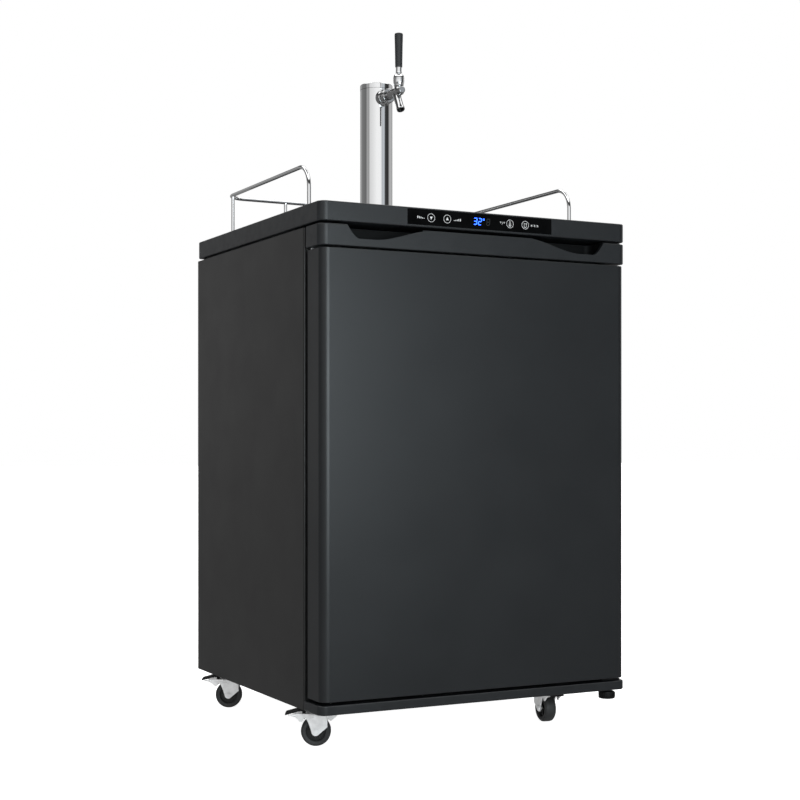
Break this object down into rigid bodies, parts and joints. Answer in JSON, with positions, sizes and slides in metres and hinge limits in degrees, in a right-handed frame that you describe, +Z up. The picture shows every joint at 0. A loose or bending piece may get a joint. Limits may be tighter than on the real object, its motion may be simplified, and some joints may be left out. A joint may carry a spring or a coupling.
{
  "type": "kegerator",
  "caption": "Black refrigerated keg cabinet on swivel casters, with a hinged door, a chrome rail and a single draught tower with a lever faucet on its worktop.",
  "frame": {"origin": "on the floor, at the middle of the footprint's bounding box, casters included", "axes": "+X to the right of a person who faces the door, +Y towards the back, +Z up"},
  "size_m": [0.647, 0.645, 1.2986],
  "materials": {
    "cabinet_paint": "satin black paint, faint texture",
    "door_paint": "satin blue-black paint",
    "back_steel": "matt dark paint",
    "galvanised": "galvanised sheet",
    "liner_plastic": "white formed plastic",
    "foam": "rigid foam",
    "trim_plastic": "satin black moulding, fine texture",
    "fascia_gloss": "gloss black",
    "board": "circuit board",
    "zinc": "zinc plated, bright",
    "black_plastic": "moulded black",
    "tyre": "hard black rubber",
    "black_rubber": "soft black seal",
    "black_enamel": "black enamel",
    "stainless": "brushed",
    "chrome": "polished",
    "beer_hose": "clear soft hose",
    "gas_hose": "red soft hose",
    "bottle_aluminium": "brushed",
    "brass": "machined",
    "mat_grey": "ribbed mat"
  },
  "bodies": {
    "root": {"left_side_panel": "cabinet_paint", "right_side_panel": "cabinet_paint", "back_panel": "back_steel", "rear_cover": "back_steel", "base_pan": "galvanised", "top_deck": "galvanised", "inner_liner": "liner_plastic", "insulation_foam": "foam", "worktop": "trim_plastic", "front_plinth": "trim_plastic", "control_fascia": "fascia_gloss", "display_board": "board", "upper_hinge": "zinc", "lower_hinge": "zinc", "fan_housing": "black_plastic", "tower_gasket": "black_rubber", "compressor": "black_enamel", "condenser_coil": "black_enamel", "evaporator_plate": "stainless", "shank": "stainless", "guard_rail": "chrome", "tower_flange": "chrome", "tower_column": "chrome", "tower_cap": "chrome", "shank_flange": "chrome", "coupling_nut": "chrome", "faucet_body": "chrome", "faucet_bonnet": "chrome", "coupler_body": "chrome", "beer_line": "beer_hose", "gas_line": "gas_hose", "co2_cylinder": "bottle_aluminium", "co2_regulator": "brass", "keg_mat": "mat_grey"},
    "door": {"door_skin": "door_paint", "door_foam": "foam", "door_liner": "liner_plastic", "door_gasket": "black_rubber", "door_handle_trim": "trim_plastic"},
    "tap_lever": {"faucet_lever": "chrome", "tap_handle": "black_plastic"},
    "valve": {"faucet_valve_shaft": "stainless"},
    "coupler_handle": {"coupler_lever": "black_plastic"},
    "co2_knob": {"co2_valve_knob": "black_plastic"},
    "tray": {"drip_tray": "stainless"},
    "grate": {"drip_grate": "stainless"},
    "fan": {"fan_rotor": "black_plastic"},
    "foot": {"levelling_foot": "black_plastic"},
    "caster_front_left": {"caster_yoke_front_left": "zinc"},
    "wheel_front_left": {"caster_wheel_front_left": "tyre"},
    "brake_front_left": {"caster_brake_front_left": "black_plastic"},
    "caster_rear_left": {"caster_yoke_rear_left": "zinc"},
    "wheel_rear_left": {"caster_wheel_rear_left": "tyre"},
    "brake_rear_left": {"caster_brake_rear_left": "black_plastic"},
    "caster_front_right": {"caster_yoke_front_right": "zinc"},
    "wheel_front_right": {"caster_wheel_front_right": "tyre"},
    "brake_front_right": {"caster_brake_front_right": "black_plastic"},
    "caster_rear_right": {"caster_yoke_rear_right": "zinc"},
    "wheel_rear_right": {"caster_wheel_rear_right": "tyre"},
    "brake_rear_right": {"caster_brake_rear_right": "black_plastic"}
  },
  "joints": [
    {"name": "door_hinge", "type": "hinge", "parent": "root", "child": "door", "pos_m": [0.282, -0.2945, 0.0875], "axis": [0, 0, 1], "range_deg": [0, 125]},
    {"name": "tap_lever_hinge", "type": "hinge", "parent": "root", "child": "tap_lever", "pos_m": [0, -0.0095, 1.2121], "axis": [1, 0, 0], "range_deg": [0, 22]},
    {"name": "valve_slide", "type": "slide", "parent": "root", "child": "valve", "axis": [0, 1, 0], "range_m": [0, 0.0087]},
    {"name": "coupler_lever_hinge", "type": "hinge", "parent": "root", "child": "coupler_handle", "pos_m": [-0.205, -0.095, 0.178], "axis": [1, 0, 0], "range_deg": [0, 45]},
    {"name": "co2_valve_turn", "type": "hinge", "parent": "root", "child": "co2_knob", "pos_m": [-0.208, 0.1125, 0.5033], "axis": [0, 0, 1], "range_deg": [0, 360]},
    {"name": "tray_lift", "type": "slide", "parent": "root", "child": "tray", "axis": [0, 0, 1], "range_m": [0, 0.08]},
    {"name": "grate_lift", "type": "slide", "parent": "tray", "child": "grate", "axis": [0, 0, 1], "range_m": [0, 0.04]},
    {"name": "fan_spin", "type": "hinge", "parent": "root", "child": "fan", "pos_m": [0, 0.2137, 0.69], "axis": [0, 1, 0], "continuous": true},
    {"name": "foot_adjust", "type": "slide", "parent": "root", "child": "foot", "axis": [0, 0, -1], "range_m": [0, 0.01]},
    {"name": "swivel_front_left", "type": "hinge", "parent": "root", "child": "caster_front_left", "pos_m": [-0.262, -0.2365, 0.066], "axis": [0, 0, 1], "continuous": true},
    {"name": "roll_front_left", "type": "hinge", "parent": "caster_front_left", "child": "wheel_front_left", "pos_m": [-0.27178, -0.23147, 0.0255], "axis": [0.4571, 0.8894, 0], "continuous": true},
    {"name": "brake_front_left", "type": "hinge", "parent": "caster_front_left", "child": "brake_front_left", "pos_m": [-0.28513, -0.22462, 0.0615], "axis": [-0.4571, -0.8894, 0], "range_deg": [0, 10]},
    {"name": "swivel_rear_left", "type": "hinge", "parent": "root", "child": "caster_rear_left", "pos_m": [-0.262, 0.18, 0.066], "axis": [0, 0, 1], "continuous": true},
    {"name": "roll_rear_left", "type": "hinge", "parent": "caster_rear_left", "child": "wheel_rear_left", "pos_m": [-0.27178, 0.18503, 0.0255], "axis": [0.4571, 0.8894, 0], "continuous": true},
    {"name": "brake_rear_left", "type": "hinge", "parent": "caster_rear_left", "child": "brake_rear_left", "pos_m": [-0.28513, 0.19189, 0.0615], "axis": [-0.4571, -0.8894, 0], "range_deg": [0, 10]},
    {"name": "swivel_front_right", "type": "hinge", "parent": "root", "child": "caster_front_right", "pos_m": [0.1974, -0.211, 0.066], "axis": [0, 0, 1], "continuous": true},
    {"name": "roll_front_right", "type": "hinge", "parent": "caster_front_right", "child": "wheel_front_right", "pos_m": [0.19602, -0.22191, 0.0255], "axis": [-0.9921, 0.1253, 0], "continuous": true},
    {"name": "brake_front_right", "type": "hinge", "parent": "caster_front_right", "child": "brake_front_right", "pos_m": [0.19414, -0.2368, 0.0615], "axis": [0.9921, -0.1253, 0], "range_deg": [0, 10]},
    {"name": "swivel_rear_right", "type": "hinge", "parent": "root", "child": "caster_rear_right", "pos_m": [0.262, 0.18, 0.066], "axis": [0, 0, 1], "continuous": true},
    {"name": "roll_rear_right", "type": "hinge", "parent": "caster_rear_right", "child": "wheel_rear_right", "pos_m": [0.27178, 0.18503, 0.0255], "axis": [0.4571, -0.8894, 0], "continuous": true},
    {"name": "brake_rear_right", "type": "hinge", "parent": "caster_rear_right", "child": "brake_rear_right", "pos_m": [0.28513, 0.19189, 0.0615], "axis": [-0.4571, 0.8894, 0], "range_deg": [0, 10]}
  ],
  "couplings": [
    {"joint": "valve_slide", "follows": "tap_lever_hinge", "m_per_rad": 0.0225}
  ]
}
